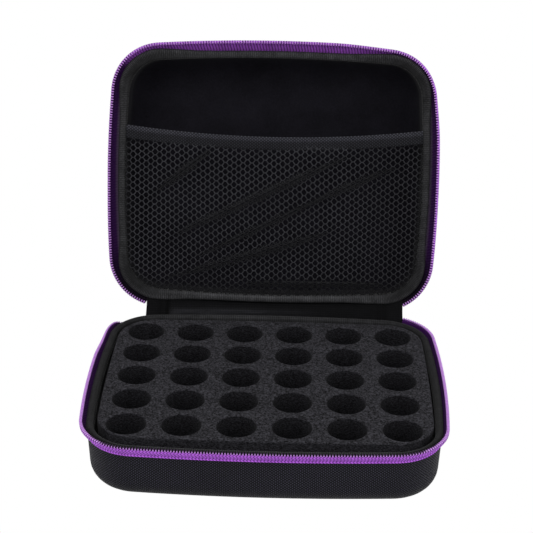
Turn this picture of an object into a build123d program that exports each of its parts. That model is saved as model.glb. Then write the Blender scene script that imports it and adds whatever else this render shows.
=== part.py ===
from build123d import *
import os
from math import asin, atan2, cos, degrees, hypot, radians, sin, sqrt

# Zip case for essential oil bottles: two moulded fabric-covered shells that a
# zip joins on three sides and a fabric strip joins at the back. The base holds
# a foam block bored for the bottles, and the lid a net pocket.
# Frame: millimetres, +X right, +Y to the back, +Z up, and the origin at the
# centre of the flat underside. The lid is modelled shut and then swung open.

# The zip line, seen from above: a rounded rectangle whose sides swell a little
zip_width = 261.7
zip_depth = 214.4
zip_corner = 40.2
side_bow = 2.4
end_bow = 3.0

# Shells: heights run from the plane in which the two rows of teeth meet
base_height = 45.7
lid_height = 42.0
base_rim_inset = 4.4
lid_rim_inset = 7.7
rim_drop = 3.4
wall_draft = 2.0
edge_round = 15.0
shell_wall = 3.2
lining_wall = 0.6

# Binding: a folded tape that caps each rim
binding_crown = 1.2
binding_leg = 0.7
binding_outer_drop = 5.0
binding_inner_drop = 10.0
binding_round = 1.9
crown_steps = 4

# Zip: a tape that flares from the shell to the teeth, and the row of teeth
tape_wall = 0.8
tape_foot_drop = 10.2
tape_bend_drop = 8.4
teeth_width = 1.8
teeth_depth = 1.85
teeth_bevel = 0.5
teeth_gap = 0.15

# Hinge strip: one fabric band, modelled as a base half and a lid half
hinge_inset = 1.0
hinge_end_margin = 27.85
hinge_shift = 3.0
strip_wall = 1.0
strip_bend_drop = 7.2
strip_foot_drop = 9.6
strip_tip_gap = 0.4
strip_side_gap = 0.15
fold_radius = 0.6
strip_seat = 0.25
rest_opening = 106.3

# Foam block and its bores, each for a 15 ml bottle
insert_side_margin = 11.85
insert_end_margin = 17.2
insert_corner = 29.0
insert_bow = 1.0
insert_below_zip = 2.2
insert_right_shift = 0.6
insert_back_shift = 2.1
insert_seat = 0.05
insert_edge_play = 0.3
bore_diameter = 28.0
bore_least_web = 6.0
bore_side_web = 8.875
bore_end_web = 6.64
bore_back_shift = 0.7

# Net pocket in the lid, and the elastic hem along its mouth
hem_width = 10.2
hem_wall = 1.6
hem_height = 139.8
hem_sag = 9.2
hem_drop = 4.8
net_wall = 0.6
net_drop = 5.3
net_pitch = 11.0
net_strand = 1.5
net_border = 2.2

# Zip ends: both tapes turned down on the back wall, with a slider parked there
slider_from_end = 23.0
tail_inner_end = 32.0
tail_outer_gap = 0.4
tail_drop = 15.6
tail_width = 10.6
tail_wall = 0.7
chain_width = 5.2
chain_wall = 1.6
stop_length = 2.2
stop_overlap = 0.7
stop_wall = 0.5

# Slider: two plates, a wedge between them, flanges and a bridge for the pull
slider_length = 13.0
slider_front_width = 9.6
slider_rear_width = 7.6
slider_plate = 0.8
slider_play = 0.2
slider_round = 1.2
flange_wall = 0.8
wedge_length = 3.6
wedge_width = 2.8
wedge_front_gap = 0.9
bridge_wire = 1.4
bridge_span = 8.8
bridge_clear = 1.0
bridge_corner = 1.3

# Pull: an eye round the bridge and a flat tab that hangs from it
eye_wall = 0.6
eye_play = 0.2
eye_thickness = 1.2
eye_height = 3.6
eye_rim = 0.8
tab_wall = 1.4
tab_length = 24.0
tab_neck_width = 2.6
tab_width = 6.8
tab_shoulder = 9.0

# Shares of the hinge strip's half length at which its section is set out
strip_station_shares = (-1.0, -0.93, -0.86, -0.6, -0.3, 0.0, 0.3, 0.6, 0.86, 0.93, 1.0)
# Places along a slider's half length, and its half width there between rear and front
slider_outline_shares = ((-1.0, 0.0), (-0.15, 0.45), (0.6, 1.0), (1.0, 0.35))

overrun = 1.0
hinge_y = zip_depth / 2 - hinge_inset
hinge_length = zip_width - 2 * hinge_end_margin
insert_width = zip_width - 2 * insert_side_margin
insert_depth = zip_depth - 2 * insert_end_margin
insert_centre = (insert_right_shift, insert_back_shift)


def bowed_arcs(width, depth, corner, bow_x, bow_y):
    """Centre, radius, start and sweep of the eight tangent arcs of a bowed rectangle."""
    chord_x = width / 2 - bow_x - corner
    chord_y = depth / 2 - bow_y - corner
    side_radius = (chord_y**2 + bow_x**2) / (2 * bow_x)
    end_radius = (chord_x**2 + bow_y**2) / (2 * bow_y)
    side_x = width / 2 - side_radius
    end_y = depth / 2 - end_radius
    reach_side = side_radius - corner
    reach_end = end_radius - corner
    apart = hypot(side_x, end_y)
    along = (apart**2 + reach_side**2 - reach_end**2) / (2 * apart)
    across = sqrt(reach_side**2 - along**2)
    corner_x = side_x + (along * -side_x - across * end_y) / apart
    corner_y = (along * end_y - across * side_x) / apart
    low = degrees(atan2(corner_y, corner_x - side_x))
    high = degrees(atan2(corner_y - end_y, corner_x))
    turn = high - low
    return [
        ((side_x, 0), side_radius, -low, 2 * low),
        ((corner_x, corner_y), corner, low, turn),
        ((0, end_y), end_radius, high, 180 - 2 * high),
        ((-corner_x, corner_y), corner, 180 - high, turn),
        ((-side_x, 0), side_radius, 180 - low, 2 * low),
        ((-corner_x, -corner_y), corner, 180 + low, turn),
        ((0, -end_y), end_radius, 180 + high, 180 - 2 * high),
        ((corner_x, -corner_y), corner, -high, turn),
    ]


ZIP_ARCS = bowed_arcs(zip_width, zip_depth, zip_corner, side_bow, end_bow)
INSERT_ARCS = bowed_arcs(insert_width, insert_depth, insert_corner, insert_bow, insert_bow)


def outline(inset, height, arcs=ZIP_ARCS):
    """Wire parallel to the given arcs, `inset` inside them, at a height."""
    edges = [
        CenterArc((centre[0], centre[1], height), radius - inset, start, sweep)
        for centre, radius, start, sweep in arcs
    ]
    return Wire(edges)


def prism(sections, arcs=ZIP_ARCS):
    """Solid through outlines given as (inset, height), straight from one to the next."""
    return Solid.make_loft([outline(inset, height, arcs) for inset, height in sections], ruled=True)


def band(outer, inner, arcs=ZIP_ARCS):
    """Ring between two stacks of outlines."""
    return prism(outer, arcs) - prism(inner, arcs)


def wall_inset(rim_inset, height, drop, depth=0.0):
    """Inset of a shell's drafted wall at a drop from the zip plane, `depth` into the wall."""
    share = (drop - rim_drop) / (height - rim_drop)
    return rim_inset + depth + wall_draft * share


def wall_y(x, inset):
    """How far back the outline at this inset reaches at x, in the back and its two corners."""
    (_, corner_y), corner = ZIP_ARCS[1][0], ZIP_ARCS[1][1] - inset
    corner_x = ZIP_ARCS[1][0][0]
    (_, end_y), end_radius = ZIP_ARCS[2][0], ZIP_ARCS[2][1] - inset
    limit = corner_x * end_radius / (end_radius - corner)
    if abs(x) <= limit:
        return end_y + sqrt(end_radius**2 - x**2)
    return corner_y + sqrt(corner**2 - (abs(x) - corner_x) ** 2)


def wall_ring(rim_inset, height, drops, depths):
    """Ring that follows a shell's wall between two drops and two depths into the wall."""
    outer = [(wall_inset(rim_inset, height, drop, depths[0]), drop) for drop in drops]
    inner = [(wall_inset(rim_inset, height, drop, depths[1]), drop) for drop in drops]
    return band(outer, inner)


def bowl(rim_inset, height, depth):
    """Filled form of a shell: its outer form, or one `depth` further in, with a rounded floor."""
    top = wall_inset(rim_inset, height, rim_drop, depth)
    floor = wall_inset(rim_inset, height, height - depth, depth)
    solid = prism([(top, rim_drop), (floor, height - depth)])
    return fillet(solid.edges().group_by(Axis.Z)[-1], edge_round - depth)


def moulded_shell(rim_inset, height):
    """Foam-backed fabric shell, opening towards the zip plane."""
    return bowl(rim_inset, height, 0) - bowl(rim_inset, height, shell_wall)


def lining(rim_inset, height):
    """Thin fabric lining laid on the inside of the shell."""
    return bowl(rim_inset, height, shell_wall) - bowl(rim_inset, height, shell_wall + lining_wall)


def binding(rim_inset, height):
    """Folded tape over the rim: a rounded crown, a short outer leg and a longer inner leg."""
    rim = shell_wall + lining_wall
    outer, inner = [], []
    for step in range(crown_steps + 1):
        angle = radians(90 * step / crown_steps)
        drop = rim_drop - binding_crown * cos(angle)
        back = binding_round * (1 - sin(angle))
        outer.append((wall_inset(rim_inset, height, drop, -binding_leg) + back, drop))
        inner.append((wall_inset(rim_inset, height, drop, rim + binding_leg) - back, drop))
    end = binding_inner_drop
    outer.append((wall_inset(rim_inset, height, end, -binding_leg), end))
    inner.append((wall_inset(rim_inset, height, end, rim + binding_leg), end))
    low = end + overrun
    groove = wall_ring(rim_inset, height, (rim_drop, low), (0, rim))
    short_side = wall_ring(rim_inset, height, (binding_outer_drop, low), (-binding_leg - overrun, rim / 2))
    return band(outer, inner) - groove - short_side


def hinge_cut():
    """Block over the back wall, as long as the hinge strip, that parts the zip there."""
    return Pos(hinge_shift, zip_depth / 2, 0) * Box(hinge_length, zip_depth / 2, zip_depth)


def zip_tape(rim_inset, height):
    """Woven tape: sewn flat on the shell, then flared out to the teeth."""
    top = teeth_gap + teeth_depth
    foot = [(wall_inset(rim_inset, height, d, -tape_wall), d) for d in (tape_bend_drop, tape_foot_drop)]
    seat = [(wall_inset(rim_inset, height, d), d) for d in (tape_bend_drop, tape_foot_drop)]
    ring = band([(teeth_bevel, top)] + foot, [(teeth_width - teeth_bevel, top)] + seat)
    return ring - hinge_cut()


def zip_teeth():
    """Row of teeth as one bead along the tape's edge."""
    low = teeth_gap
    high = teeth_gap + teeth_depth
    drops = (low, low + teeth_bevel, high - teeth_bevel, high)
    steps = (teeth_bevel, 0, 0, teeth_bevel)
    outer = [(step, drop) for step, drop in zip(steps, drops)]
    inner = [(teeth_width - step, drop) for step, drop in zip(steps, drops)]
    return band(outer, inner) - hinge_cut()


def strip_section(x, rim_inset, height, tip_gap):
    """Hinge strip's section at x: along the back wall, then out to the hinge line."""
    seat = -strip_seat
    foot_y = wall_y(x, wall_inset(rim_inset, height, strip_foot_drop, seat))
    bend_y = wall_y(x, wall_inset(rim_inset, height, strip_bend_drop, seat))
    tip_y = hinge_y - strip_side_gap
    rise = strip_bend_drop - tip_gap
    run = tip_y - strip_wall - bend_y
    skew_y = strip_wall * rise / hypot(rise, run)
    skew_z = strip_wall * run / hypot(rise, run)
    points = [
        (foot_y, strip_foot_drop),
        (bend_y, strip_bend_drop),
        (tip_y - skew_y, tip_gap),
        (tip_y, tip_gap + skew_z),
        (bend_y + strip_wall, strip_bend_drop + skew_z / 2),
        (foot_y + strip_wall, strip_foot_drop),
    ]
    return Wire.make_polygon([(x, y, z) for y, z in points], close=True)


def strip_half(rim_inset, height, tip_gap):
    """Half of the hinge strip, from one shell's back wall to the hinge line."""
    places = [hinge_shift + share * hinge_length / 2 for share in strip_station_shares]
    return Solid.make_loft([strip_section(x, rim_inset, height, tip_gap) for x in places], ruled=True)


def fold():
    """Round fold of the strip on the hinge line itself, which the lid's half turns about."""
    return Pos(hinge_shift, hinge_y, 0) * Rot(0, 90, 0) * Cylinder(fold_radius, hinge_length)


def bore_row(length, end_web):
    """Number and pitch of the bores that fit in a length of the foam with a web at each end."""
    room = length - 2 * end_web
    count = int((room + bore_least_web) / (bore_diameter + bore_least_web))
    return count, (room - bore_diameter) / (count - 1)


def foam_insert():
    """Foam block on the lined floor, with a grid of bores right through it."""
    columns, pitch_x = bore_row(insert_width, bore_side_web)
    rows, pitch_y = bore_row(insert_depth, bore_end_web)
    top = insert_below_zip
    bottom = base_height - shell_wall - lining_wall - insert_seat
    block = prism([(0, top), (0, bottom)], INSERT_ARCS)
    low_edge = edge_round - shell_wall - lining_wall + insert_edge_play
    block = fillet(block.edges().group_by(Axis.Z)[-1], low_edge)
    block = Pos(insert_centre[0], insert_centre[1], 0) * block
    bore = Pos(0, bore_back_shift, (top + bottom) / 2) * GridLocations(pitch_x, pitch_y, columns, rows)
    depth = bottom - top + 2 * overrun
    return block - [place * Cylinder(bore_diameter / 2, depth) for place in bore]


def pocket_inset():
    """Inset of the lid binding's inner leg, which the net and its hem are sewn to."""
    depth = shell_wall + lining_wall + binding_leg
    return wall_inset(lid_rim_inset, lid_height, hem_drop + hem_wall, depth)


def hem_arc(height):
    """Arc across the lid at a height above the hinge side, lowest in the middle."""
    half = zip_width / 2
    level = zip_depth / 2 - height
    return ThreePointArc((-half, level - hem_sag, 0), (0, level, 0), (half, level - hem_sag, 0))


def below_hem(height):
    """Face on the hinge side of the hem's arc, as wide as the lid."""
    arc = hem_arc(height)
    back = zip_depth / 2
    left, right = arc @ 0, arc @ 1
    rest = Polyline((right.X, right.Y, 0), (right.X, back, 0), (left.X, back, 0), (left.X, left.Y, 0))
    return make_face([arc, *rest.edges()])


def pocket_hem():
    """Elastic band across the lid, the mouth of the pocket."""
    face = below_hem(hem_height) - below_hem(hem_height - hem_width)
    face = face & make_face(outline(pocket_inset(), 0).edges())
    return Pos(0, 0, hem_drop) * extrude(face, amount=hem_wall)


def pocket_net():
    """Flat net: one face with a honeycomb of gaps, sewn in on three sides."""
    field = below_hem(hem_height - hem_width) & make_face(outline(pocket_inset(), 0).edges())
    field = field.faces()[0]
    row_pitch = net_pitch * sqrt(3) / 2
    gap_radius = (net_pitch - net_strand) / sqrt(3)
    reach = gap_radius + net_border
    rows = int(zip_depth / row_pitch)
    columns = int(zip_width / net_pitch)
    wires = []
    for row in range(-rows, rows + 1):
        for column in range(-columns, columns + 1):
            x = (column + (row % 2) / 2) * net_pitch
            y = row * row_pitch
            ring = [(x + reach * cos(radians(a)), y + reach * sin(radians(a))) for a in range(0, 360, 45)]
            if all(field.is_inside(Vector(px, py, 0)) for px, py in ring):
                gap = RegularPolygon(gap_radius, 6, rotation=30)
                wires.append((Pos(x, y, 0) * gap).face().outer_wire())
    holed = Face(field.outer_wire(), wires)
    return Pos(0, 0, net_drop) * extrude(holed, amount=net_wall)


def zip_end_stack():
    """Distances out from the back wall: tape's inner face, teeth's inner and outer faces."""
    tape_inner = 2 * slider_play + slider_plate
    teeth_inner = tape_inner + tail_wall
    return tape_inner, teeth_inner, teeth_inner + chain_wall


def end_band(near, far, low, high):
    """Ring outside the base's wall, between two distances and two drops."""
    return wall_ring(base_rim_inset, base_height, (low, high), (-far, -near))


def end_window(side, from_end, to_end):
    """Block over the back wall between two distances from one end of the hinge."""
    first = hinge_shift + side * (hinge_length / 2 - from_end)
    second = hinge_shift + side * (hinge_length / 2 - to_end)
    middle = (first + second) / 2
    return Pos(middle, zip_depth / 2, 0) * Box(abs(first - second), zip_depth / 2, zip_depth)


def zip_end_tape(side):
    """Both tapes' ends, side by side, parted where the slider's wedge passes between them."""
    tape_inner, teeth_inner, _ = zip_end_stack()
    low = tail_drop - tail_width / 2
    ring = end_band(tape_inner, teeth_inner, low, low + tail_width)
    tape = ring & end_window(side, tail_outer_gap, tail_inner_end)
    slot_width = wedge_width + 2 * slider_play
    slot = end_band(0, teeth_inner + overrun, tail_drop - slot_width / 2, tail_drop + slot_width / 2)
    slot = slot & end_window(side, -overrun, wedge_from_end() + wedge_length + slider_play)
    return tape - slot


def wedge_from_end():
    """Distance from the hinge's end to the wedge's front."""
    return slider_from_end - slider_length / 2 + wedge_front_gap


def zip_end_teeth(side):
    """The last closed teeth of the zip, behind the slider's wedge."""
    _, inner, outer = zip_end_stack()
    low = tail_drop - chain_width / 2
    ring = end_band(inner, outer, low, low + chain_width)
    start = wedge_from_end() + wedge_length + slider_play
    return ring & end_window(side, start, tail_inner_end - stop_length)


def zip_stop(side):
    """Metal clip that closes the last teeth."""
    tape_inner, _, outer = zip_end_stack()
    low = tail_drop - chain_width / 2 - stop_overlap
    high = tail_drop + chain_width / 2 + stop_overlap
    clip = end_band(tape_inner + tail_wall, outer + stop_wall, low, high)
    return clip & end_window(side, tail_inner_end - stop_length, tail_inner_end)


def slider_place(side):
    """Plane on the back wall at a slider: x along the zip to its open end, z outwards."""
    x = hinge_shift + side * (hinge_length / 2 - slider_from_end)
    inset = wall_inset(base_rim_inset, base_height, tail_drop)
    tilt = asin(x / (ZIP_ARCS[2][1] - inset))
    lean = atan2(wall_draft, base_height - rim_drop)
    outwards = (sin(tilt) * cos(lean), cos(tilt) * cos(lean), sin(lean))
    along = (side * cos(tilt), -side * sin(tilt), 0)
    return Plane(origin=(x, wall_y(x, inset), tail_drop), x_dir=along, z_dir=outwards)


def slider_face(shrink=0.0, stretch=0.0):
    """Slider's plate seen from outside: narrow at the rear, shouldered at the front."""
    side = []
    for along, wide in slider_outline_shares:
        half = slider_rear_width / 2 + wide * (slider_front_width - slider_rear_width) / 2
        reach = slider_length / 2 + (stretch if abs(along) == 1 else 0)
        side.append((along * reach, half - shrink))
    mirrored = [(x, -y) for x, y in reversed(side)]
    return make_face(Polyline(*side, *mirrored, close=True))


def slider_levels():
    """Distances out from the wall: the plates' inner and outer faces, and the bridge's middle."""
    inner_low = slider_play
    inner_high = inner_low + slider_plate
    outer_low = zip_end_stack()[2] + slider_play
    outer_high = outer_low + slider_plate
    bridge = outer_high + bridge_clear + bridge_wire / 2
    return inner_low, inner_high, outer_low, outer_high, bridge


def wedge_face():
    """Pointed oval that parts the two rows of teeth at the slider's front."""
    front = slider_length / 2 - wedge_front_gap
    middle = front - wedge_length / 2
    half = wedge_width / 2
    upper = ThreePointArc((front, 0), (middle, half), (front - wedge_length, 0))
    lower = ThreePointArc((front - wedge_length, 0), (middle, -half), (front, 0))
    return make_face([upper, lower])


def slider_bridge(foot, level):
    """Wire arch along the slider, for the pull's eye."""
    half = bridge_span / 2
    route = FilletPolyline(
        (-half, 0, foot), (-half, 0, level), (half, 0, level), (half, 0, foot), radius=bridge_corner
    )
    return sweep(Plane(origin=route @ 0, z_dir=route % 0) * Circle(bridge_wire / 2), path=route)


def slider_body():
    """Slider in its own frame: x to its front, z outwards from the wall."""
    inner_low, inner_high, outer_low, outer_high, bridge = slider_levels()
    plate = fillet(slider_face().vertices(), slider_round)
    inner_plate = Pos(0, 0, inner_low) * extrude(plate, amount=slider_plate)
    outer_plate = Pos(0, 0, outer_low) * extrude(plate, amount=slider_plate)
    flange_low = zip_end_stack()[1] + slider_play
    channel = slider_face(shrink=flange_wall, stretch=overrun)
    sides = Pos(0, 0, flange_low) * extrude(plate - channel, amount=outer_low - flange_low + slider_plate)
    wedge = Pos(0, 0, inner_low) * extrude(wedge_face(), amount=outer_high - inner_low)
    arch = slider_bridge(outer_high - slider_plate / 2, bridge)
    return inner_plate + outer_plate + sides + wedge + arch


def pull_body():
    """Pull in the slider's frame: an eye round the bridge, and a tab that hangs along -y."""
    _, _, _, outer_high, level = slider_levels()
    hole_low = level - bridge_wire / 2 - eye_play
    hole_high = level + bridge_wire / 2 + eye_play
    hole = (hole_low + hole_high) / 2
    eye_low = hole_low - eye_wall
    eye_high = hole_high + eye_rim
    half = eye_height / 2 + eye_rim
    ring = Pos(0, (eye_low + eye_high) / 2) * RectangleRounded(2 * half, eye_high - eye_low, eye_rim)
    ring -= Pos(0, hole) * RectangleRounded(eye_height, hole_high - hole_low, eye_play)
    eye = extrude(Plane.YZ * ring, amount=eye_thickness / 2, both=True)
    top = -(eye_height + eye_rim) / 2
    neck, wide = tab_neck_width / 2, tab_width / 2
    round_start = wide - tab_length
    tab = make_face(
        [
            Polyline((-wide, round_start), (-wide, -tab_shoulder), (-neck, top), (neck, top)),
            Polyline((neck, top), (wide, -tab_shoulder), (wide, round_start)),
            ThreePointArc((wide, round_start), (0, -tab_length), (-wide, round_start)),
        ]
    )
    return eye + Pos(0, 0, level - tab_wall / 2) * extrude(tab, amount=tab_wall)


def on_base(piece):
    """Turns a piece modelled by its drop from the zip plane into its place on the base."""
    return Pos(0, 0, base_height) * mirror(piece, about=Plane.XY)


def on_lid(piece):
    """Puts a piece modelled on the shut lid in its place on the open one."""
    hinge = Axis((0, hinge_y, base_height), (1, 0, 0))
    return (Pos(0, 0, base_height) * piece).rotate(hinge, -rest_opening)


def base_pieces():
    """Every piece of the base but the zip's two ends."""
    return {
        "base_shell": moulded_shell(base_rim_inset, base_height),
        "base_lining": lining(base_rim_inset, base_height),
        "base_binding": binding(base_rim_inset, base_height),
        "base_zip_tape": zip_tape(base_rim_inset, base_height),
        "base_zip_teeth": zip_teeth(),
        "hinge_strip_base": strip_half(base_rim_inset, base_height, 0) + fold(),
        "foam_insert": foam_insert(),
    }


def zip_end_pieces(name, side):
    """The pieces of one end of the zip, with the slider parked there and its pull."""
    place = slider_place(side)
    hang = Rot(0, 0, 0 if side > 0 else 180)
    return {
        f"zip_end_tape_{name}": zip_end_tape(side),
        f"zip_end_teeth_{name}": zip_end_teeth(side),
        f"zip_stop_{name}": zip_stop(side),
        f"slider_{name}": place * slider_body(),
        f"pull_{name}": place * hang * pull_body(),
    }


def lid_pieces():
    """Every piece of the lid."""
    return {
        "lid_shell": moulded_shell(lid_rim_inset, lid_height),
        "lid_lining": lining(lid_rim_inset, lid_height),
        "lid_binding": binding(lid_rim_inset, lid_height),
        "lid_zip_tape": zip_tape(lid_rim_inset, lid_height),
        "lid_zip_teeth": zip_teeth(),
        "hinge_strip_lid": strip_half(lid_rim_inset, lid_height, strip_tip_gap),
        "pocket_net": pocket_net(),
        "pocket_hem": pocket_hem(),
    }


def main():
    """Builds and writes every node."""
    base = base_pieces() | zip_end_pieces("left", -1) | zip_end_pieces("right", 1)
    placed = {name: on_base(piece) for name, piece in base.items()}
    placed |= {name: on_lid(piece) for name, piece in lid_pieces().items()}
    os.makedirs("parts", exist_ok=True)
    for name, piece in placed.items():
        export_step(piece, f"parts/{name}.step")


if __name__ == "__main__":
    main()
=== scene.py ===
"""Looks of a zip-around case for oil bottles: fabric shells, zip, foam block and net pocket."""

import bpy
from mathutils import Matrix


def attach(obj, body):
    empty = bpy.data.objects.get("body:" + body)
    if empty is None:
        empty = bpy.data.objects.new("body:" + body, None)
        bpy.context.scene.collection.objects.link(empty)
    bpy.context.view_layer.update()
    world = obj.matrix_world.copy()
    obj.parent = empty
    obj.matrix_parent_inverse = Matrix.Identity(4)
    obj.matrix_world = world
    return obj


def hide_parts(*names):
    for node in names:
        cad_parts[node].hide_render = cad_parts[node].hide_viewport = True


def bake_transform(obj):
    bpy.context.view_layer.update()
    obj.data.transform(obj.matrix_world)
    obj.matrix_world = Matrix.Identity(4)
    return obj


bl_info = {
    "name": "Bottle Case",
    "version": (1, 0, 0),
    "blender": (4, 5, 0),
    "location": "3D View > Sidebar > Case",
    "description": "Builds the fabric, foam, zip and net of a bottle case round its packed frame",
    "category": "Add Mesh",
}

from collections import namedtuple
from math import acos, atan2, ceil, cos, hypot, pi, radians, sin, sqrt

import bmesh
import bpy
from mathutils import Matrix, Vector

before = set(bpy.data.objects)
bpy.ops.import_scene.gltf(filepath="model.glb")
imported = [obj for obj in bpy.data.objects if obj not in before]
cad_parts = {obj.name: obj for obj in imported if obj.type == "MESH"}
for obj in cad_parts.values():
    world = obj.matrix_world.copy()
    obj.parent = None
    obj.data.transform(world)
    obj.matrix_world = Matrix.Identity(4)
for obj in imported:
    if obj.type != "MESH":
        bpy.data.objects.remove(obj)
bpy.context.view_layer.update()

MM = 0.001
SEAM = 1e-5

# Where the base's tape turns down, the ring of floor that is spun, and the grid of the bores.
TAPE_FOOT = 8.4 * MM
FLOOR_RING = 20 * MM
BORES_ACROSS = 38.45 * MM
BORES_ALONG = 34.68 * MM

Half = namedtuple("Half", "name inset height side lift")


def length(name, description, default):
    return bpy.props.FloatProperty(
        name=name, description=description, default=default, unit="LENGTH"
    )


def colour(name, description, *default):
    return bpy.props.FloatVectorProperty(
        name=name, description=description, default=default, subtype="COLOR"
    )


class CaseSizes(bpy.types.PropertyGroup):
    """Sizes of the case, the same as the frame's."""

    zip_width: length("Zip width", "Width of the zip line", 0.2617)
    zip_depth: length("Zip depth", "Depth of the zip line", 0.2144)
    zip_corner: length("Corner", "Corner radius of the zip line", 0.0402)
    side_bow: length("Side bow", "Swell of the left and right sides", 0.0024)
    end_bow: length("End bow", "Swell of the front and back", 0.003)
    base_height: length("Base height", "Height of the zip plane", 0.0457)
    lid_height: length("Lid height", "Depth of the lid", 0.042)
    base_inset: length("Base inset", "Rim of the base inside the zip line", 0.0044)
    lid_inset: length("Lid inset", "Rim of the lid inside the zip line", 0.0077)
    rim_drop: length("Rim drop", "Rim's distance from the zip plane", 0.0034)
    draft: length("Draft", "How far the walls lean in", 0.002)
    edge_round: length("Edge round", "Radius where wall and floor meet", 0.015)
    wall: length("Wall", "Thickness of the padded shell", 0.0032)
    lining: length("Lining", "Thickness of the lining", 0.0006)
    opening: bpy.props.FloatProperty(
        name="Opening",
        description="How far the lid stands open",
        default=radians(106.3),
        subtype="ANGLE",
    )
    hinge_inset: length("Hinge inset", "Hinge line inside the zip line", 0.001)
    hinge_length: length("Hinge length", "Length of the fabric hinge", 0.206)
    hinge_shift: length("Hinge shift", "Hinge's middle to the right", 0.003)
    insert_width: length("Foam width", "Width of the foam block", 0.238)
    insert_depth: length("Foam depth", "Depth of the foam block", 0.180)
    bore: length("Bore", "Width of a bottle's bore", 0.028)
    tooth_pitch: length("Tooth pitch", "Distance from tooth to tooth", 0.002)
    stitch_pitch: length("Stitch pitch", "Distance from stitch to stitch", 0.0032)


class CaseColours(bpy.types.PropertyGroup):
    """Colours of the finishes."""

    nylon: colour("Nylon", "Woven outside of the shells", 0.0105, 0.0101, 0.0146)
    lining: colour("Lining", "Brushed lining", 0.0075, 0.0070, 0.0100)
    binding: colour("Binding", "Ribbed binding tape", 0.027, 0.027, 0.029)
    foam: colour("Foam", "Closed-cell foam", 0.023, 0.0225, 0.0265)
    tape: colour("Tape", "Woven zip tape", 0.395, 0.102, 0.665)
    teeth: colour("Teeth", "Moulded zip teeth", 0.62, 0.30, 0.82)
    strip: colour("Hinge strip", "Fabric hinge strip", 0.0040, 0.0040, 0.0046)
    net: colour("Net", "Knitted net", 0.034, 0.034, 0.040)
    elastic: colour("Elastic", "Elastic hem of the pocket", 0.020, 0.020, 0.025)
    lacquer: colour("Lacquer", "Lacquered sliders and stops", 0.012, 0.012, 0.013)
    floor: colour("Floor", "Floor and backdrop", 0.8, 0.8, 0.8)


def sizes():
    return bpy.context.scene.case_sizes


def colours():
    return bpy.context.scene.case_colours


def halves():
    """Base and lid: inset of the rim, height, side of the zip plane, and how far the tape is up."""
    s = sizes()
    return (
        Half("base", s.base_inset, s.base_height, -1, 0.9 * MM),
        Half("lid", s.lid_inset, s.lid_height, 1, 0.0),
    )


def bowed_arcs(width, depth, corner, bow_x, bow_y):
    """Eight tangent arcs of a rounded rectangle whose sides swell: centre, radius, start, sweep."""
    chord_x = width / 2 - bow_x - corner
    chord_y = depth / 2 - bow_y - corner
    side_radius = (chord_y**2 + bow_x**2) / (2 * bow_x)
    end_radius = (chord_x**2 + bow_y**2) / (2 * bow_y)
    side_x = width / 2 - side_radius
    end_y = depth / 2 - end_radius
    apart = hypot(side_x, end_y)
    reach_side = side_radius - corner
    reach_end = end_radius - corner
    along = (apart**2 + reach_side**2 - reach_end**2) / (2 * apart)
    across = sqrt(reach_side**2 - along**2)
    x = side_x + (along * -side_x - across * end_y) / apart
    y = (along * end_y - across * side_x) / apart
    low = atan2(y, x - side_x)
    high = atan2(y - end_y, x)
    turn = high - low
    return [
        ((side_x, 0), side_radius, -low, 2 * low),
        ((x, y), corner, low, turn),
        ((0, end_y), end_radius, high, pi - 2 * high),
        ((-x, y), corner, pi - high, turn),
        ((-side_x, 0), side_radius, pi - low, 2 * low),
        ((-x, -y), corner, pi + low, turn),
        ((0, -end_y), end_radius, pi + high, pi - 2 * high),
        ((x, -y), corner, -high, turn),
    ]


def rim_arcs():
    s = sizes()
    return bowed_arcs(s.zip_width, s.zip_depth, s.zip_corner, s.side_bow, s.end_bow)


def zip_arcs():
    """The arcs that the zip follows: clockwise from the hinge strip's right end to its left end."""
    s = sizes()
    arcs = rim_arcs()
    right_centre, right_radius, right_start, _ = arcs[1]
    left_centre, left_radius, left_start, left_turn = arcs[3]
    right_x = s.hinge_shift + s.hinge_length / 2
    left_x = s.hinge_shift - s.hinge_length / 2
    first = acos((right_x - right_centre[0]) / right_radius)
    last = acos((left_x - left_centre[0]) / left_radius)
    path = [(right_centre, right_radius, first, right_start - first)]
    for index in (0, 7, 6, 5, 4):
        centre, radius, start, turn = arcs[index]
        path.append((centre, radius, start + turn, -turn))
    path.append((left_centre, left_radius, left_start + left_turn, last - left_start - left_turn))
    return path


def wall_inset(half, drop, depth=0.0):
    """How far inside the zip line the wall is at this drop, `depth` into the wall."""
    s = sizes()
    return half.inset + depth + s.draft * (drop - s.rim_drop) / (half.height - s.rim_drop)


def level(half, drop):
    """Height of a drop from the zip plane, with the lid shut."""
    return sizes().base_height + half.side * drop


def drop_of(point):
    """A point's distance from the zip plane, with the lid shut."""
    return abs(point.z - sizes().base_height)


def on_arc(arc, share, inset, height):
    """Point on one arc, at a share of its sweep."""
    centre, radius, start, turn = arc
    angle = start + share * turn
    reach = radius - inset
    return Vector((centre[0] + reach * cos(angle), centre[1] + reach * sin(angle), height))


def beside(point, arcs):
    """Where a point lies beside the arcs: distance along them, and how far inside them."""
    run = 0.0
    best = (1e9, 0.0, 0.0)
    for (cx, cy), radius, start, turn in arcs:
        angle = atan2(point.y - cy, point.x - cx)
        share = ((angle - start) / turn) if turn else 0.0
        wrap = 2 * pi / abs(turn)
        while share > wrap / 2 + 0.5:
            share -= wrap
        while share < 0.5 - wrap / 2:
            share += wrap
        kept = min(max(share, 0.0), 1.0)
        reach = hypot(point.x - cx, point.y - cy)
        foot = (cx + radius * cos(start + kept * turn), cy + radius * sin(start + kept * turn))
        off = hypot(point.x - foot[0], point.y - foot[1])
        if off < best[0] - SEAM:
            best = (off, run + kept * abs(turn) * radius, radius - reach)
        run += abs(turn) * radius
    return best[1:]


def run_at(point, arcs):
    return beside(point, arcs)[0]


def whole_run(arcs):
    return sum(abs(turn) * radius for _, radius, _, turn in arcs)


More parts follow.
